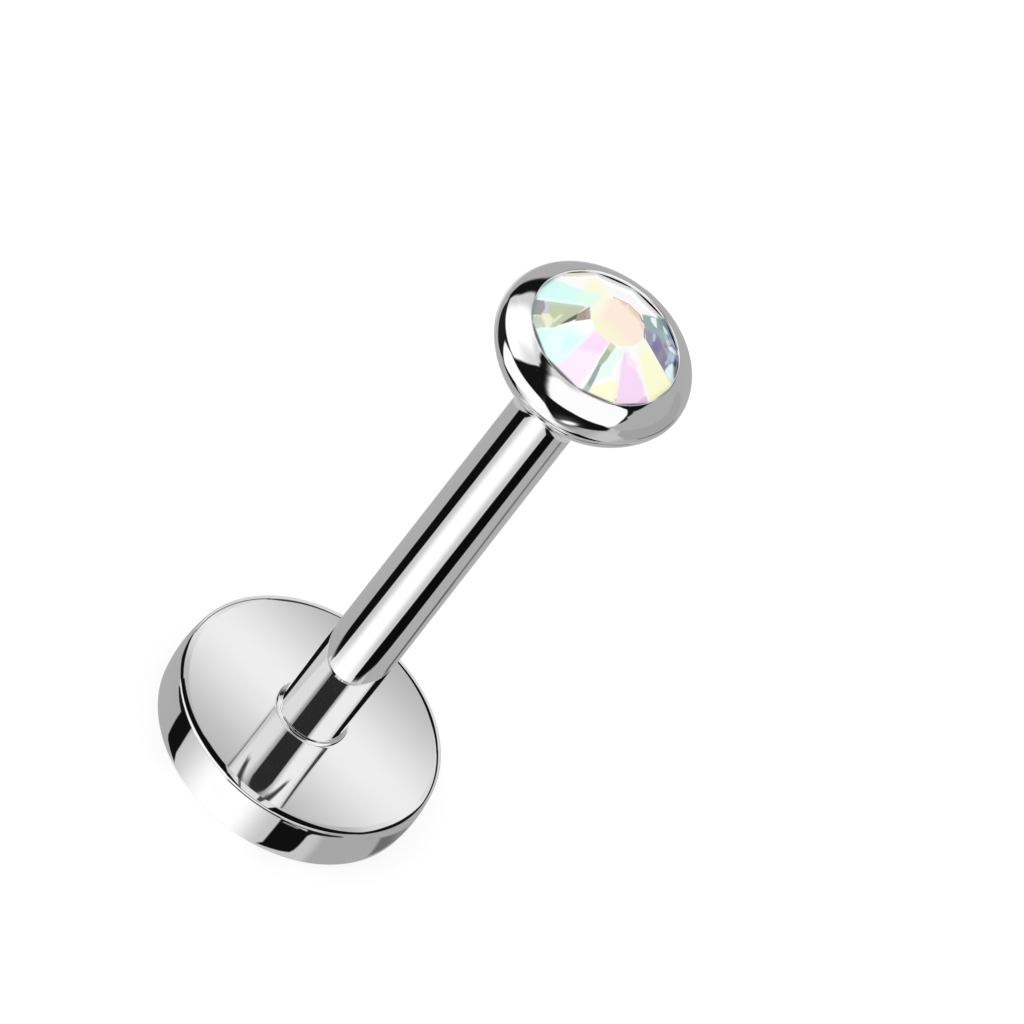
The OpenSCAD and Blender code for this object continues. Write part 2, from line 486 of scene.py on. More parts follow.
tints = {
    "snow": (254, 253, 253), "mint": (217, 255, 250), "paleMint": (231, 255, 252), "leaf": (230, 255, 240),
    "rose": (253, 236, 251), "orchid": (251, 220, 250), "lemon": (254, 254, 214),
    "paleLemon": (253, 253, 230), "peach": (254, 236, 220), "cream": (253, 246, 214),
    "pear": (248, 250, 208), "blush": (246, 196, 192), "amber": (232, 212, 184), "olive": (187, 197, 167),
    "sedge": (193, 201, 160), "lichen": (188, 206, 194), "straw": (238, 238, 208), "reed": (226, 232, 204),
    "ash": (154, 152, 154), "moss": (198, 208, 184), "bark": (158, 141, 131), "fawn": (182, 163, 156),
    "darkReflection": (78, 80, 68), "sage": (158, 186, 158), "hay": (202, 212, 174), "slate": (147, 164, 164),
    "reef": (170, 200, 190), "teal": (136, 164, 157), "deepTeal": (128, 160, 153),
    "lagoon": (140, 170, 172), "mist": (150, 162, 178), "violet": (126, 117, 160), "grape": (118, 106, 158),
    "dusk": (142, 136, 146), "iris": (142, 143, 178), "storm": (118, 128, 148), "ice": (188, 194, 216),
    "pearl": (232, 242, 252), "frost": (230, 252, 248), "cloud": (188, 202, 216), "lilac": (202, 202, 220),
    "plum": (166, 146, 166), "berry": (150, 122, 144), "sky": (172, 190, 214), "ink": (84, 92, 112),
    "stoneGrey": (136, 146, 140), "fuchsia": (226, 196, 234), "pink": (246, 192, 230),
    "umber": (120, 98, 86), "khaki": (134, 114, 86), "clay": (158, 136, 130), "shade": (98, 86, 98),
}

# The charts below belong to one photograph. Their corners were picked on it by eye, and scratch scripts
# turned many of them into places on the cards. Tints and tones follow the photograph's colours.

# tint, softness and corners, in hundredths of the stone's radius: x to the right, y away from the camera
# painted reflections, glints and dark patches inside the stone
stoneColours = [
    # left
    ("paleLemon", 8, [(-50, 30), (-36, 46), (-24, 34), (-28, 16), (-31, 2), (-40, 6), (-47, 16)]),
    ("paleLemon", 8, [(-58, 72), (-48, 72), (-45, 45), (-52, 22), (-58, 30)]),
    ("lemon", 10, [(-49, 52), (-38, 50), (-35, 24), (-40, 18), (-50, 22), (-53, 38)]),
    ("paleLemon", 6, [(-82, 50), (-66, 68), (-61, 64), (-66, 52), (-78, 44)]),
    ("mint", 6, [(-96, 24), (-84, 29), (-62, 23), (-46, 18), (-35, 10), (-32, -6), (-46, -8), (-60, -11),
                 (-78, -15.5), (-92, -18)]),
    ("leaf", 10, [(-56, 22), (-36, 24), (-30, 4), (-33, -10), (-50, -5), (-56, 8)]),
    ("olive", 1.5, [(-80, -15), (-60, -11), (-46, -8), (-40, -8), (-43, -20), (-50, -40), (-58, -48.5),
                    (-70, -46), (-80, -34)]),
    ("lichen", 5, [(-80, -15), (-60, -11), (-44, -8), (-46, -12), (-60, -15), (-78, -20)]),
    ("sedge", 6, [(-71, -20), (-58, -16), (-56, -34), (-66, -40), (-72, -32)]),
    ("lilac", 2, [(-81, -14.5), (-76.5, -14), (-72, -30), (-75, -33), (-79, -26)]),
    ("straw", 4, [(-77, -34), (-70, -31), (-61, -38), (-57, -47.5), (-63, -51), (-71, -46)]),
    ("reed", 2, [(-58.5, -28), (-55.5, -28), (-58, -42), (-62, -42)]),
    ("sedge", 3, [(-59, -42), (-52, -41), (-54, -47), (-59, -49)]),
    ("ash", 1.5, [(-94, -17), (-82.5, -15), (-77, -25), (-76, -36), (-84, -40), (-94, -30)]),
    ("moss", 2.5, [(-79, -38), (-74, -40), (-63, -50), (-66, -54), (-74, -58), (-84, -46)]),
    ("darkReflection", 1.2, [(-43, -20), (-39.5, -27), (-45, -35), (-51.5, -41.5), (-48, -32)]),
    ("bark", 1, [(-37.2, -6), (-27.5, -22.5), (-40, -31.5), (-43, -21)]),
    ("fawn", 4, [(-37, -7), (-28, -22), (-33, -22), (-38, -12)]),
    # near side
    ("paleMint", 2, [(-56, -48), (-44, -35), (-36, -31), (-22, -34), (-15, -38), (-18, -56), (-22, -74),
                     (-27, -96), (-50, -92), (-66, -74), (-70, -57)]),
    ("mint", 5, [(-68, -53), (-54, -52), (-50, -66), (-56, -74), (-70, -66)]),
    ("mint", 8, [(-40, -46), (-22, -44), (-22, -60), (-30, -70), (-38, -58)]),
    ("mint", 6, [(-48, -74), (-38, -76), (-34, -92), (-46, -90)]),
    ("paleMint", 5, [(-53, -52), (-44, -50), (-36, -66), (-40, -76), (-53, -68)]),
    ("snow", 5, [(-38, -32), (-15, -35), (-15, -42), (-30, -40)]),
    ("rose", 2.5, [(-13.5, -34), (8, -34), (9, -60), (16, -98), (-27, -98), (-19.5, -62)]),
    ("orchid", 8, [(-15, -32), (7, -32), (8, -48), (-18, -58)]),
    ("frost", 3, [(14, -34), (30, -29), (37, -44), (50, -60), (40, -62), (26, -66), (21, -74)]),
    ("leaf", 4, [(15, -34), (20, -35), (26, -60), (22, -74), (17, -50)]),
    ("snow", 5, [(27, -33), (33, -41), (48, -60), (38, -57), (28, -50)]),
    ("lemon", 3.5, [(36, -60), (44, -56), (51, -62), (58, -71), (54, -90), (24, -98), (22, -80), (28, -70)]),
    ("olive", 2, [(53, -70), (55.5, -66.5), (55.5, -72)]),
    ("sage", 1.5, [(8.5, -34), (15, -34.5), (17, -48), (15.5, -60), (10.5, -56)]),
    ("hay", 3, [(8, -32), (16, -32), (16, -40), (9, -40)]),
    ("slate", 2, [(11.5, -57), (16, -57), (20.5, -72), (22.5, -84), (16.5, -84)]),
    ("reef", 3, [(15.5, -81), (22, -81), (24.5, -98), (17, -98)]),
    ("orchid", 2, [(27, -28), (38, -21), (53, -19), (62, -25.5), (84, -33.5), (98, -36), (84, -60),
                   (66, -78), (56, -71), (45, -55), (36, -42)]),
    ("rose", 6, [(28, -27), (44, -20), (52, -28), (40, -34)]),
    ("snow", 4, [(31, -21), (48, -15), (54, -19), (36, -26)]),
    ("fuchsia", 4, [(79, -35), (92, -38), (86, -50), (76, -46)]),
    ("pink", 3, [(92, -44), (84, -48), (70, -60), (62, -70), (70, -72), (88, -56)]),
    # right
    ("lemon", 2, [(35, 10), (60, 10), (80, 12.5), (104, 12), (104, -34), (84, -34), (62, -26), (50, -18),
                  (37, -12)]),
    ("snow", 3, [(35, 10), (60, 10), (80, 12), (82, 8), (36, 5)]),
    ("paleLemon", 6, [(33, 6), (46, 4), (46, -12), (36, -12)]),
    ("mist", 1.5, [(16, 42), (23, 56), (31, 74), (36, 98), (60, 90), (84, 66), (96, 36), (90, 11),
                   (38, 10.5), (32, 18), (22, 27)]),
    ("teal", 3, [(17, 42), (24, 57), (30, 54), (42, 52), (44, 38), (40, 30), (24, 28)]),
    ("ash", 2, [(16, 42), (23, 56), (29, 70), (32, 66), (24, 50), (19, 40)]),
    ("deepTeal", 3, [(32, 84), (40, 84), (48, 66), (52, 52), (44, 48), (41, 56), (35, 70)]),
    ("lagoon", 4, [(44, 58), (52, 66), (58, 70), (59, 56), (54, 44), (46, 44)]),
    ("frost", 2, [(31, 70), (35, 66), (40.5, 54), (38, 51), (30, 51), (27, 58)]),
    ("frost", 3, [(41, 81), (47, 80), (52, 75), (58, 75), (59, 71), (51, 66), (46, 70)]),
    ("cloud", 3, [(59, 70), (66, 73), (71, 66), (67, 58), (60, 60)]),
    ("lilac", 3, [(59, 60), (65, 60), (64, 50), (58, 52)]),
    ("berry", 2, [(66, 63), (68, 62), (66.5, 54), (64, 50)]),
    ("pearl", 3, [(67, 57), (74, 59), (79, 52), (77, 47), (70, 46), (66, 42), (63.5, 45), (65.5, 51)]),
    ("plum", 3, [(56, 49), (63, 49), (64, 40), (60, 34), (54, 38)]),
    ("berry", 2.5, [(59, 47), (63, 45), (62.5, 40), (59, 41)]),
    ("sky", 2.5, [(70, 47), (77, 48), (80, 42), (77, 35), (73, 32), (68, 40)]),
    ("ink", 2, [(79, 47.5), (84, 46), (88, 36), (81, 37)]),
    ("stoneGrey", 2, [(85, 44), (92, 38), (97, 24), (91, 27), (85, 36)]),
    ("storm", 4, [(44, 41), (53, 44), (56, 33), (46, 31)]),
    ("violet", 2, [(45, 33), (54, 36), (68, 34), (73, 28), (75, 12), (44, 11), (46, 24)]),
    ("grape", 4, [(50, 26), (57, 26), (57, 16), (50, 15)]),
    ("dusk", 5, [(60, 32), (67, 33), (68, 14), (60, 14)]),
    ("storm", 2.5, [(73, 24), (77, 24), (78, 12), (73, 12)]),
    ("iris", 3, [(32, 26), (38, 33), (46, 30), (44, 11), (37, 11)]),
    ("ice", 1.5, [(42, 36), (45, 35), (48, 25), (46, 22), (42.5, 27), (41, 31)]),
    ("storm", 1, [(37, 12.3), (77, 13.8), (79, 11.8), (38, 10.3)]),
    ("pearl", 2, [(78, 36), (82, 35), (88, 27), (94, 19), (97, 11), (79, 12), (76, 19), (78, 28)]),
    ("frost", 4, [(82, 19), (91, 20), (96, 11), (80, 12)]),
    ("sky", 1.5, [(73, 33), (76, 31), (75, 20), (72, 22)]),
    # dark lines along the table's far edge
    ("clay", 1.8, [(-22, 28.5), (-4, 34), (-4, 36.5), (-22, 31)]),
    ("umber", 1.8, [(-4, 34), (15, 31), (16, 34), (-4, 36.5)]),
    ("khaki", 1.8, [(14.6, 31), (22, 25.5), (25, 28), (16, 34)]),
    ("clay", 1.8, [(28, 20), (34.5, 8), (37, 9), (31, 21.5)]),
]

# painted reflections seen through the table
tableColours = [
    ("cream", 22, [(-60, -6), (60, -20), (60, -60), (-60, -60)]),
    ("paleLemon", 16, [(-60, 30), (-24, 30), (-18, -60), (-60, -60)]),
    ("pear", 10, [(-26, -18), (-10, -22), (-6, -40), (-30, -36)]),
    ("amber", 5, [(-2, 36), (20, 34), (22, 24), (0, 28)]),
    ("blush", 7, [(-12, 36), (-4, 38), (-4, 29), (-11, 28)]),
    ("blush", 7, [(23, 26), (32, 20), (32, 15), (24, 19)]),
]

# painted shade: the dark groove round the stone, painted on the crown's edge where the groove shows past it
grooveShadeColours = [
    ("teal", 24, [(-120, 42), (-80, 42), (-70, -46), (-120, -60)]),
    ("shade", 24, [(-60, -120), (60, -120), (50, -74), (-50, -74)]),
    ("storm", 14, [(56, 100), (90, 64), (70, 50), (50, 80)]),
    ("berry", 5, [(28, 100), (35, 100), (34, 84), (29, 84)]),
    ("umber", 5, [(-42, 100), (-36, 100), (-36, 78), (-41, 78)]),
]


def chartPatches(rows):
    return [dict(corners=corners, soft=soft, tone=tints[name]) for name, soft, corners in rows]


def ringCorners(centre, radius, count, turn):
    return [(centre[0] + radius * math.cos(a), centre[1] + radius * math.sin(a))
            for a in [turn + 2 * math.pi * k / count for k in range(count)]]


def facetEdge(radius, facets, turn, angle):
    part = 2 * math.pi / facets
    middle = (np.floor((angle - turn) / part) + 0.5) * part + turn
    reach = radius * math.cos(part / 2) / np.cos(angle - middle)
    return np.stack([reach * np.cos(angle), reach * np.sin(angle)], -1)


def makeStone(s, material):
    n, turn = s["facets"] * s["stepsPerFacet"], math.radians(s["turn"])
    angle = turn + np.arange(n) * 2 * math.pi / n
    shift = angle + 1e-6  # so that a corner belongs to one facet
    outer = facetEdge(s["radius"], s["facets"], turn, shift)
    inner = facetEdge(s["tableRadius"], s["facets"], turn, shift)
    low, top = s["girdleTop"], s["girdleTop"] + s["crown"]
    bottom = low - s["girdle"]
    t = np.linspace(0, 1, s["crownRings"] + 1)[:, None, None]
    ground = outer * (1 - t) + inner * t
    crown = np.concatenate([ground, np.broadcast_to(low + s["crown"] * t, ground.shape[:2] + (1,))], -1)
    k = np.linspace(1, 0, s["tableRings"] + 1)[1:-1][:, None, None]
    table = np.concatenate([inner * k, np.full((s["tableRings"] - 1, n, 1), top)], -1)
    under = np.concatenate([outer, np.full((n, 1), bottom)], -1)[None]
    rings = np.concatenate([under, crown, table])
    verts = np.concatenate([rings.reshape(-1, 3), [(0, 0, top), (0, 0, bottom - s["pavilion"])]])
    faces = gridFaces(len(rings), n)
    last, cap, point = (len(rings) - 1) * n, len(verts) - 2, len(verts) - 1
    faces += [(last + j, last + (j + 1) % n, cap) for j in range(n)]
    faces += [((j + 1) % n, j, point) for j in range(n)]

    u, v = verts[:, 0] / s["radius"] * 100, verts[:, 1] / s["radius"] * 100
    # painted shade: outside the edge polygon the crown takes the groove's dark tones
    edge = ringCorners(s["edgeCentre"], s["edgeRadius"], s["facets"], turn)
    inside = panelMask(u, v, edge, s["edgeSoft"])[:, None]
    crownTone = paintPatches(u, v, tints["snow"], chartPatches(stoneColours))
    grooveShade = paintPatches(u, v, s["grooveShade"], chartPatches(grooveShadeColours))
    crownTone = grooveShade + (crownTone - grooveShade) * inside
    tableTone = paintPatches(u, v, tints["peach"], chartPatches(tableColours))
    first = (s["crownRings"] + 1) * n  # the ring where the table starts

    mesh = bpy.data.meshes.new("stone")
    mesh.from_pydata((verts * mm).tolist(), [], faces)
    onTable = np.repeat([min(f) >= first for f in faces], [len(f) for f in faces])
    loopVerts = np.zeros(len(mesh.loops), np.int32)
    mesh.loops.foreach_get("vertex_index", loopVerts)
    shade = np.where(onTable[:, None], tableTone[loopVerts], crownTone[loopVerts])
    rgba = np.concatenate([toLinear(shade), np.ones((len(shade), 1))], -1)
    coatingReflections = mesh.color_attributes.new("coatingReflections", "FLOAT_COLOR", "CORNER")
    coatingReflections.data.foreach_set("color", rgba.astype(np.float32).ravel())
    mesh.polygons.foreach_set("use_smooth", np.zeros(len(faces), bool))
    mesh.materials.append(material)
    mesh.update()
    return addObject("stone_faceted", mesh)


def stoneFinish(s):
    material, tree, shader = newMaterial("coated glass")
    colour = addNode(tree, "ShaderNodeVertexColor", (-600, 200), {"layer_name": "coatingReflections"})
    # painted light: the stone gives out its painted reflections as a glow, and a share of them is its base
    # colour
    thin = mixTones(tree, (-300, 200), s["baseShare"], (0, 0, 0, 1), colour)
    feed(shader, Base_Color=thin.outputs[2], Emission_Color=colour,
         Emission_Strength=s["glow"], Roughness=s["rough"], IOR=s["bend"], Coat_Weight=s["coat"],
         Coat_Roughness=s["coatRough"])
    return material


gem = makeStone(stone, stoneFinish(stone))
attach(gem, "stone_end")
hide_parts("gem")
print("stone cut,", len(gem.data.polygons), "faces")


# studio: a pale floor, a white surround, and cards that only the polished metal sees, painted with the
# reflections it shows

studio = {
    "floor": 1.0, "floorTone": 0.24, "floorGlow": 0.78, "surround": 1.02,  # metres, and strengths
    "key": 0.08, "keySize": 0.2, "keyPlace": (-0.12, -0.1, 0.22), "keyAim": (0, 0, 0.005),
    "pale": 172, "overDisc": 212,  # a card's tone between its patches
    "lift": 1.1,  # the metal gives back about nine tenths of a card's light
}
cards = {  # mm, with the steps round and across
    # scale: the photograph's pixels to a mm of height; counts: under side, wall, corner and fall
    "edge": {"gap": 0.03, "lowest": -60, "sideOn": 0.05, "scale": 50.87, "steps": 1080,
             "counts": (12, 70, 40, 40)},
    "rim": {"low": 1.85, "high": 2.0, "height": 0.85, "shift": 0.85, "steps": 720, "rings": 8},
    "floor": {"low": 2.0, "high": 9.6, "height": -0.01, "shift": 0, "steps": 720, "rings": 150},
    "post": {"low": 8.2, "high": 9.02, "gap": 0.06, "sides": 88, "steps": 240, "rings": 90},
    "ring": {"low": 0.55, "high": 6.0, "height": 3.2, "steps": 600, "rings": 110},
    "dome": {"radius": 100, "height": 9.8, "poles": 89.9, "steps": 540, "rings": 241},
}


def area(soft, corners):
    return dict(soft=soft, corners=corners)


def panel(tone, soft, corners, **more):
    return dict(area(soft, corners), tone=tone, **more)


def pad(tone, soft, centre, size, **more):
    return dict(tone=tone, soft=soft, centre=centre, size=size, **more)


onFall = area(1.4, [(-200, 21.6), (200, 21.6), (200, 40), (-200, 40)])
wallLeft = area(15, [(-90, -60), (7.5, -60), (7.5, 60), (-90, 60)])

# painted reflections and highlights round the disc's side and rim, on the card that hugs it
# tone, softness and corners: degrees round from the camera's side, and the photograph's pixels
# up from half way up the wall
discEdge = [
    panel(167, 30, [(20, -40), (180, -40), (180, 30), (20, 30)]),
    panel(197, 5, [(-36, -40), (35, -40), (35, 30), (-36, 30)]),
    panel(256, 22, [(-25, -60), (90, -60), (90, 60), (-25, 60)], within=wallLeft),
    # left black patch and its tail
    panel(17, 0.6, [(-46.2, 19.4), (-45.2, 7), (-44.1, -3), (-43.4, -8.5), (-42, -11), (-38.4, -12.8),
                    (-34.4, -13.6), (-34.9, 0), (-35.5, 8), (-36.5, 19.4)]),
    panel(17, 0.6, [(-37, -6), (-34.5, -8.5), (-32.8, -14.9), (-38, -13)]),
    panel(20, 0.8, [(-45, 19.4), (-45, 14.2), (-50.6, 15.2), (-57.5, 17.4), (-56, 19)]),
    # right black patch and its tail
    panel(16, 0.6, [(15.8, -14), (15.9, 0), (16.3, 19.3), (29.4, 16), (29, 5), (28.8, 0), (28.3, -6.5),
                    (27.4, -10.3), (24, -12.2), (19, -13.7)]),
    panel(16, 0.5, [(14, -14.8), (18, -14), (17, -10), (15.8, -11)]),
    panel(16, 0.5, [(28, 16.5), (28.6, 10.5), (31, 16)]),
    panel(20, 0.6, [(28, 19), (28.4, 14.9), (44, 17.3), (44, 18)]),
    panel(190, 0.8, [(17, 16.2), (24, 15.8), (25, 17), (18, 17.4)], mix=0.8),
    # grey patch further right, with a faint line up to it
    panel(106, 3, [(63.4, 12), (72, 9.6), (80, 6.5), (84, 0), (79, -7), (71, -10.6), (64.6, -12.6)]),
    panel(150, 10, [(72, 9), (90, 9), (90, -11), (76, -11)], mix=0.6),
    panel(150, 0.8, [(46, 16.4), (57, 14.2), (63.5, 11.4), (63.5, 12.4), (57, 15.2), (46, 17.2)]),
    # painted reflections round the top: a painted highlight over the corner, and black where the face falls
    dict(onFall, tone=218),
    panel(186, 18, [(-74, 0), (-10, 0), (-10, 60), (-74, 60)], within=onFall),
    panel(236, 16, [(-104, 0), (-88, 0), (-88, 60), (-104, 60)], within=onFall),
    panel(184, 18, [(12, 0), (52, 0), (52, 60), (12, 60)], within=onFall),
    panel(236, 16, [(68, 0), (90, 0), (90, 60), (68, 60)], within=onFall),
    panel(222, 3, [(-10, 0), (12, 0), (12, 60), (-10, 60)], within=onFall),
    panel(105, 0.6, [(-8.6, 29), (-6.8, 29), (-4.2, 22), (-5.4, 22)]),
    panel(75, 0.6, [(4.2, 29), (7.2, 29), (5.4, 22.4), (3.6, 22.4)]),
    panel(250, 0.7, [(-60, 18.8), (-30, 19.5), (62, 19.1), (62, 22.4), (-60, 22.4)]),
    panel(16, 0.5, [(-10.5, 18.7), (15.8, 18.4), (15.8, 19.7), (-10.5, 19.6)]),
    panel(150, 0.5, [(-32, 19), (-10, 19), (-10, 19.5), (-32, 19.5)], mix=0.7),
    panel(20, 0.5, [(14, 18.5), (43, 18), (43, 18.6), (14, 19.3)]),
    panel(60, 0.5, [(-12, 21.3), (12, 20.9), (12, 21.7), (-12, 22)], mix=0.8),
    panel(24, 0.5, [(-12, 24.4), (-13, 22), (-4, 21.4), (-4, 22)]),
    panel(14, 0.9, [(-10.6, 22), (-31, 22.2), (-31, 27), (-17, 29)]),
    panel(14, 0.9, [(-30, 22.2), (-60, 20.6), (-60, 24), (-53.4, 24.8), (-30, 26.9)]),
    panel(16, 0.7, [(-58, 20.4), (-72, 19.3), (-81, 20.9), (-88, 22.2), (-88, 22.9), (-75, 23),
                    (-58, 24.1)]),
    panel(14, 0.6, [(9, 21.2), (12, 26.2), (22, 25.9), (31.6, 25), (53, 22.8), (53, 21.2)]),
    panel(16, 0.6, [(50, 20.9), (73, 20.8), (83, 21.6), (90, 22.2), (90, 23.2), (77, 23.8), (64, 23.7),
                    (50, 22.7)]),
    # far side of the rim
    panel(115, 0.8, [(-132, 25.2), (-86, 22.2), (-86, 23.1), (-132, 26.4)]),
    panel(60, 0.8, [(-181, 26.1), (-146, 25.8), (-130, 25.1), (-130, 26.5), (-140, 28), (-181, 28)]),
    panel(20, 0.7, [(86, 21.8), (120, 24.6), (120, 26.4), (86, 23)]),
    panel(10, 0.6, [(118, 24), (146, 25.1), (172, 25.5), (172, 28), (140, 28), (118, 26.3)]),
    panel(135, 3, [(166, 26.2), (181, 26.2), (181, 28), (166, 28)]),
]

# painted reflections of the floor and of the bezel's underside, as the post and the disc's rim show them
paintedFloorReflection = [  # degrees round from the camera's side, and tenths of a mm out, seen in the post
    panel(195, 24, [(160, 0), (210, 0), (210, 99), (160, 99)]),
    panel(195, 24, [(-160, 0), (-210, 0), (-210, 99), (-160, 99)]),
    panel(200, 3, [(-60, 0), (58, 0), (62, 99), (-60, 99)]),
    panel(236, 12, [(-60, 20), (-60, 31), (40, 31), (40, 20)]),
    panel(260, 25, [(-31, 99), (-31, 88), (-35, 41), (-38, 20), (17, 20), (18, 41), (22, 88), (22, 99)]),
    # left black strip
    panel(15, 3, [(-81, 99), (-77, 51), (-76, 39), (-74, 34), (-71.5, 32), (-66.5, 30.5), (-61, 29),
                  (-53, 28), (-50.7, 28), (-46.3, 99)]),
    # right black strip
    panel(12, 3, [(36.3, 40), (39, 72), (41.2, 99), (71.5, 99), (68.3, 40)]),
    panel(12, 2, [(32.2, 27.5), (36.9, 44), (68.5, 44), (67.3, 36), (65.9, 34), (64.2, 32), (60.5, 31),
                  (52.5, 29), (45.5, 28)]),
    # thin grey line
    panel(116, 5, [(100, 99), (103.2, 69), (112.5, 69), (109, 99)]),
    panel(110, 5, [(103.2, 70), (109.3, 49), (119, 49), (112.5, 70)]),
    panel(94, 5, [(109.2, 50), (114, 27), (124.5, 27), (119, 50)]),
    # painted reflection of the bezel's underside: under the bezel the strips end in a round arch
    panel(192, 0.25, [(-200, 80.6), (-26, 91.1), (-26, 99), (-200, 99)]),
    panel(192, 0.25, [(200, 80.8), (17, 91.3), (17, 99), (200, 99)]),
    panel(200, 0.3, [(-40, 91.6), (30, 91.6), (30, 99), (-40, 99)]),
    panel(20, 0.25, [(-58, 88.6), (-46, 88.8), (-26, 90.8), (-26, 91.1), (-58, 89.1)]),
    panel(20, 0.25, [(58, 88.6), (42, 88.8), (17, 90.9), (17, 91.3), (58, 88.9)]),
]

discFace = dict(centre=(0, 2.4), size=(2.05, 2.05), soft=0.03)

# painted reflections seen in the disc's face and in the post's foot
ringCard = [  # mm, over the disc
    panel(232, 0.5, [(-0.3, 0), (-2.6, 0.3), (-6, -3), (-6, -6), (-1.2, -6)]),
    panel(248, 1.0, [(0.3, 0), (6, 0.8), (6, -5), (2.4, -4)]),
    panel(120, 1.2, [(-0.2, -0.6), (0.2, -0.6), (3.3, -4.6), (-3.3, -4.6)], mix=0.8),
    panel(44, 0.1, [(-0.7, -1.54), (-0.48, -1.46), (0.73, -1.46), (0.95, -1.54), (2.36, -4.05), (0, -4.4),
                    (-2.04, -4.05)]),
    panel(18, 0.2, [(-2.45, 0.92), (-4.1, 1.6), (-3.7, 3.2), (-2.6, 4.1), (-1.8, 3.4), (-1.8, 1.9)]),
    panel(16, 0.2, [(2.5, 0.8), (4.4, 1.4), (3.9, 2.6), (3.2, 3.7), (2.4, 4.1), (1.8, 3.6), (1.8, 1.6)]),
    panel(95, 0.35, [(-0.9, 0.25), (-1.9, 1.1), (-1.9, 1.6), (-0.65, 0.75)]),
    panel(68, 0.3, [(0.9, 0.3), (2.45, 0.7), (2.15, 1.4), (1.75, 1.65), (0.8, 0.8)]),
    panel(60, 0.2, [(-0.7, -0.95), (-1.65, -0.5), (-1.55, -0.85), (-0.85, -1.15)]),
    panel(60, 0.2, [(0.7, -0.95), (1.75, -0.58), (1.65, -0.85), (0.9, -1.2)]),
    # seen in the top of the disc
    dict(discFace, tone=180),
    pad(240, 2.2, (0, 2.38), (9, 1.1), turn=-10, within=discFace),
]

leftBox = area(5, [(-124, 20), (-118, -4), (-100, -3), (-66, 2), (-59, 4), (-56, 14), (-54, 30), (-53, 48),
                   (-55, 60), (-70, 66), (-97, 68), (-122, 68)])
leftBoxFar = area(6, [(-174, 71), (-124, 19), (-95, 30), (-90, 66.5), (-120, 70), (-150, 71)])
leftFrame = area(12, [(-200, -70), (-4, -70), (-7, -8), (-8, 23), (-14, 38), (-20, 48), (-27, 58), (-44, 71),
                      (-79, 77), (-200, 77)])
nearSide = area(20, [(6, 0), (200, 0), (200, 95), (-60, 95)])

domeCard = [  # degrees: round from the camera's side, and up
    panel(215, 16, [(-180, 60), (180, 60), (180, 90), (-180, 90)]),
    panel(232, 24, [(-190, -28), (-138, -28), (-128, -52), (-190, -58)]),
    panel(208, 14, [(-190, -62), (190, -62), (190, -95), (-190, -95)]),
    pad(196, 14, (64, -25), (14, 38)),
    panel(162, 3, [(82, -28), (134, -29), (137, -8), (140, 10), (145, 28), (92, 42), (72, 22), (68, -8)]),
    # the near softbox
    panel(254, 9, [(-45, 84), (-45, 10), (56, 10), (125, 48), (125, 70), (112, 84)], within=nearSide),
    # black frame of the left softbox
    panel(20, 5, [(-146, 21), (-124, -12), (30, -8), (30, 77), (-125, 77), (-146, 70)], within=leftFrame),
    panel(20, 5, [(-178, 49), (-146, 21), (-120, 0), (-100, 77), (-130, 77), (-172, 72)]),
    panel(30, 4, [(-124, -4), (-110, -2.5), (-93, -0.5), (-84, -2), (-79, -12), (-76, -30), (-74, -50),
                  (-80, -64), (-102, -64), (-109, -44), (-113, -29), (-120, -17), (-127, -9)]),
    panel(258, 4, [(-78, -10), (-64, 0), (-24, 0), (-14, -2), (-6, -8), (3, -25), (11, -40), (14, -62),
                   (-70, -62), (-75, -37)]),
    dict(leftBox, tone=258),
    dict(leftBoxFar, tone=258),
    # its ends and its side by the stone are a little darker
    panel(220, 30, [(-84, 74), (-72, 42), (-40, 30), (-40, 74)], within=leftBox),
    panel(205, 9, [(-150, 61), (-50, 61), (-50, 80), (-150, 80)], mix=0.8, within=leftBox),
    panel(208, 11, [(-135, -12), (-135, 22), (-114, 22), (-108, -12)], within=leftBox),
    panel(208, 11, [(-190, 80), (-190, 16), (-114, 16), (-119, 30), (-136, 52),
                    (-150, 62)], within=leftBoxFar),
    # black lower edge of the near softbox
    panel(18, 4, [(-14, 26), (20, 28), (52, 23), (61, 18), (67, 13), (61, 8), (53, -5), (47, -21), (38, -32),
                  (29, -41), (20, -46), (10, -40), (2, -25), (-7, -6)]),
    pad(85, 14, (20, -20), (11, 24), mix=0.8, turn=-12),
    pad(254, 5, (22, -19), (4.5, 14), turn=-24),
    panel(172, 3, [(56, 18), (72, 33), (88, 43.5), (103, 49.5), (117, 53.5), (150, 57), (165, 30), (120, 12),
                   (70, 12)]),
    panel(24, 1.4, [(70, 32.5), (90, 43), (89, 46.5), (79, 40.5)]),
    panel(20, 1.4, [(88, 42.5), (106, 49.5), (118, 53), (121, 58), (113, 58), (103, 53.5), (89, 46.5)]),
    panel(18, 1.6, [(104, 50.5), (117, 49), (134, 46), (146, 48), (150, 56), (140, 66), (124, 74), (110, 70),
                    (110, 58)]),
    panel(95, 3, [(96, -29), (136, -26.5), (138, -30.5), (120, -32.5), (98, -32)]),
]


def cardFinish(name, oneSided):
    material, tree, shader = newMaterial(name)
    material.cycles.emission_sampling = "NONE"
    tree.nodes.remove(shader)
    tone = addNode(tree, "ShaderNodeAttribute", (-600, 0), {"attribute_name": "tone"})
    surface = addNode(tree, "ShaderNodeEmission", (-300, 0), Strength=tone.outputs["Fac"])
    if oneSided:
        clear = addNode(tree, "ShaderNodeBsdfTransparent", (-300, -200))
        side = addNode(tree, "ShaderNodeNewGeometry", (-600, 200))
        surface = addNode(tree, "ShaderNodeMixShader", (0, 0),
                          numbered={0: side.outputs["Backfacing"], 1: surface, 2: clear})
    feed(tree.nodes["Material Output"], Surface=surface)
    return material


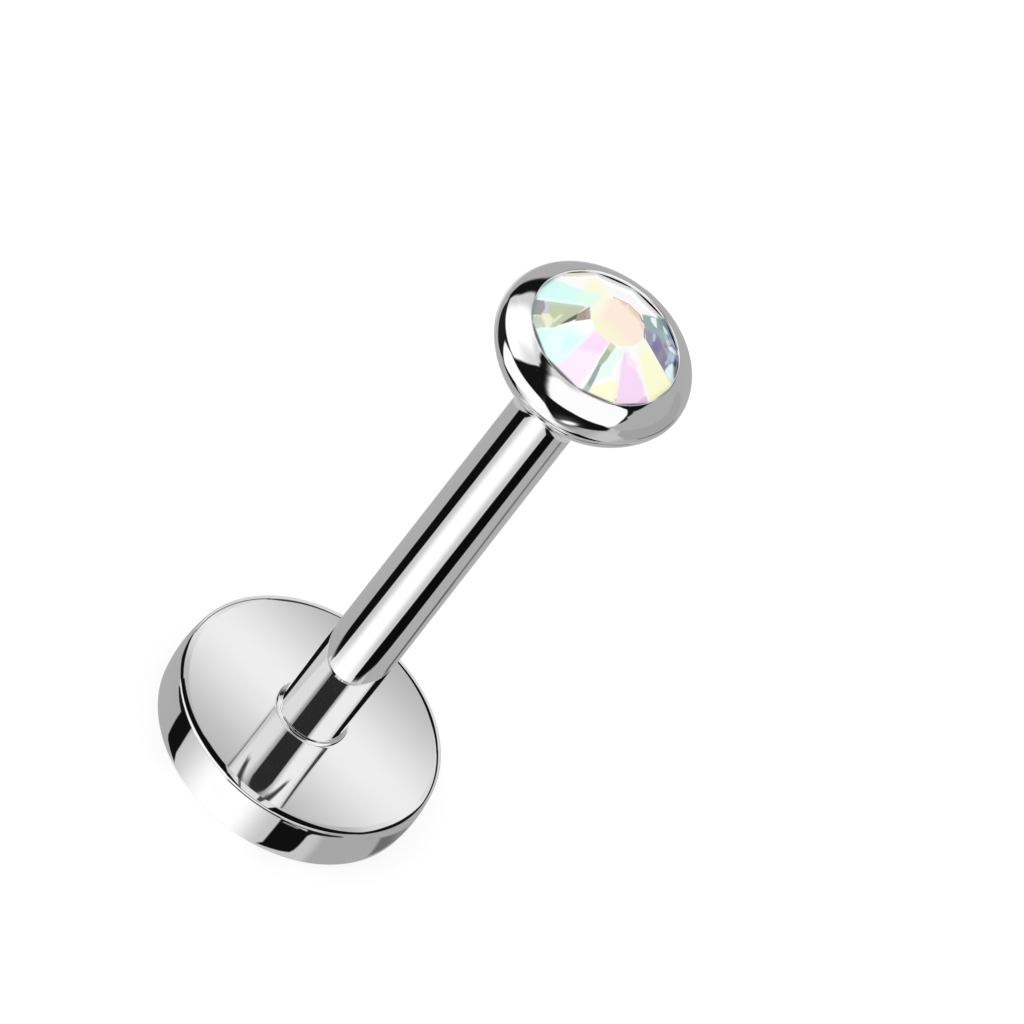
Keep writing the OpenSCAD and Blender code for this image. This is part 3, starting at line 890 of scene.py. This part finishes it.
# the patches are painted at u and v, one pair for each point
def makeCard(name, verts, faces, u, v, base, patches, oneSided=True):
    mesh = bpy.data.meshes.new(name)
    mesh.from_pydata((verts.reshape(-1, 3) * mm).tolist(), [], faces)
    addValues(mesh, "tone", toLinear(paintPatches(u, v, base, patches)) * studio["lift"])
    mesh.materials.append(cardFinish(name, oneSided))
    card = addObject(name, mesh)
    for kind in ("camera", "diffuse", "transmission", "volume_scatter", "shadow"):
        setattr(card, "visible_" + kind, False)


def flatten(*grids):
    return [grid.ravel() for grid in np.broadcast_arrays(*grids)]


def turnFaces(faces):
    return [face[::-1] for face in faces]


def mirrorView(outward, facing):
    return 2 * facing * outward - toCamera


def flatCard(name, c, base, patches, polar=False):
    angle = np.linspace(-math.pi, math.pi, c["steps"], endpoint=False)
    radius = np.linspace(c["low"], c["high"], c["rings"])[:, None]
    x, y = radius * np.sin(angle), -radius * np.cos(angle)
    u, v = (np.degrees(angle), (radius + c["shift"]) * 10) if polar else (x, y)
    x, y, z, u, v = flatten(x, y, c["height"], u, v)
    faces = gridFaces(c["rings"], c["steps"])
    # the polar cards face up and the ring over the disc faces down
    makeCard(name, np.stack([x, y, z], -1), turnFaces(faces) if polar else faces, u, v, base, patches)


# painted reflections: a card close round the disc's side, every point of it where the camera sees it mirrored
def edgeCard(name, c, d, base, patches):
    swell, corner, fall = discArcs(d)
    under = ((corner[0][0], d["thick"] - corner[0][1]), corner[1], c["lowest"], -corner[2])
    wall = (swell[0], swell[1], -swell[3], swell[3])
    lean, place = [], []
    for arc, count in zip((under, wall, corner, fall), c["counts"]):
        angles = np.linspace(arc[2], arc[3], count + 1)[1 if lean else 0:]
        lean += list(angles)
        place += [onCircle(arc[0], arc[1], a) for a in angles]
    lean, place = np.radians(lean)[:, None], np.array(place)
    radius, height = place[:, :1], place[:, 1:]
    turn = np.radians(np.linspace(-180, 180, c["steps"], endpoint=False))
    outward = np.stack([np.cos(lean) * np.sin(turn), -np.cos(lean) * np.cos(turn),
                        np.sin(lean) + 0 * turn], -1)
    facing = (outward @ toCamera)[..., None]
    mirrored = np.where(facing > c["sideOn"], mirrorView(outward, facing), outward)
    surface = np.stack([radius * np.sin(turn), -radius * np.cos(turn), height + 0 * turn], -1)
    up = (height - d["thick"] / 2 + d["radius"] - radius) * c["scale"]
    faces = turnFaces(gridFaces(len(place), c["steps"]))
    makeCard(name, surface + c["gap"] * mirrored, faces, *flatten(np.degrees(turn), up), base, patches)


# the same painted floor reflection for the top of the post, on a card close to it, where the far one would
# blur
def postCard(name, c, radius, base, patches):
    turn = np.radians(np.linspace(-c["sides"], c["sides"], c["steps"]))
    height = np.linspace(c["low"], c["high"], c["rings"])[:, None]
    outward = np.stack([np.sin(turn), -np.cos(turn), 0 * turn], -1)
    mirrored = mirrorView(outward, (outward @ toCamera)[:, None])
    surface = np.stack(np.broadcast_arrays(radius * np.sin(turn), -radius * np.cos(turn), height), -1)
    landing = surface + (height / math.sin(tilt))[..., None] * mirrored
    x, y = landing[..., 0], landing[..., 1]
    u, v = flatten(np.degrees(np.arctan2(x, -y)), np.hypot(x, y) * 10)
    faces = turnFaces(gridFaces(c["rings"], c["steps"], closed=False))
    makeCard(name, surface + c["gap"] * mirrored, faces, u, v, base, patches)


def domeShell(name, c, base, patches):
    azimuth = np.radians(np.linspace(-180, 180, c["steps"], endpoint=False))
    up = np.radians(np.linspace(-c["poles"], c["poles"], c["rings"]))[:, None]
    x, y = np.cos(up) * np.sin(azimuth), -np.cos(up) * np.cos(azimuth)
    verts = np.stack([x, y, np.broadcast_to(np.sin(up), x.shape)], -1).reshape(-1, 3) * c["radius"]
    u, v = flatten(np.degrees(azimuth), np.degrees(up))
    faces = gridFaces(c["rings"], c["steps"])
    makeCard(name, verts + np.array([0, 0, c["height"]]), faces, u, v, base, patches, oneSided=False)


def makeFloor(s):
    size = s["floor"]
    mesh = bpy.data.meshes.new("floor")
    corners = [(-size, -size, 0), (size, -size, 0), (size, size, 0), (-size, size, 0)]
    mesh.from_pydata(corners, [], [(0, 1, 2, 3)])
    floor = addObject("floor", mesh)
    pale, _, shader = newMaterial("pale floor")
    feed(shader, Base_Color=(s["floorTone"],) * 3 + (1,), Emission_Color=(1, 1, 1, 1),
         Emission_Strength=s["floorGlow"], Roughness=1, Specular_IOR_Level=0)
    mesh.materials.append(pale)
    floor.visible_glossy = False


def makeLights(s):
    world = bpy.data.worlds.new("white surround")
    world.use_nodes = True
    scene.world = world
    path = addNode(world.node_tree, "ShaderNodeLightPath", (-600, 200))
    bright = addNode(world.node_tree, "ShaderNodeMapRange", (-300, 200), Value=path.outputs["Is Camera Ray"],
                     To_Min=s["surround"], To_Max=1.0)
    feed(world.node_tree.nodes["Background"], Color=(1, 1, 1, 1), Strength=bright)

    lamp = bpy.data.lights.new("key", "AREA")
    lamp.shape, lamp.size, lamp.energy = "DISK", s["keySize"], s["key"]
    key = addObject("key", lamp)
    key.location = s["keyPlace"]
    key.rotation_euler = (Vector(s["keyAim"]) - key.location).to_track_quat("-Z", "Y").to_euler()
    key.visible_glossy = False
    key.visible_camera = False


edgeCard("disc_edge_card", cards["edge"], disc, studio["pale"], discEdge)
# three cards carry the painted floor reflection that the post shows: over the disc's rim, far out, and close
# to the post's top
flatCard("rim_card", cards["rim"], studio["pale"], paintedFloorReflection, polar=True)
flatCard("floor_card", cards["floor"], studio["pale"], paintedFloorReflection, polar=True)
postCard("post_card", cards["post"], disc["postRadius"], studio["pale"], paintedFloorReflection)
flatCard("ring_card", cards["ring"], studio["overDisc"], ringCard)
domeShell("dome_card", cards["dome"], studio["pale"], domeCard)
makeFloor(studio)
makeLights(studio)
print("studio set")
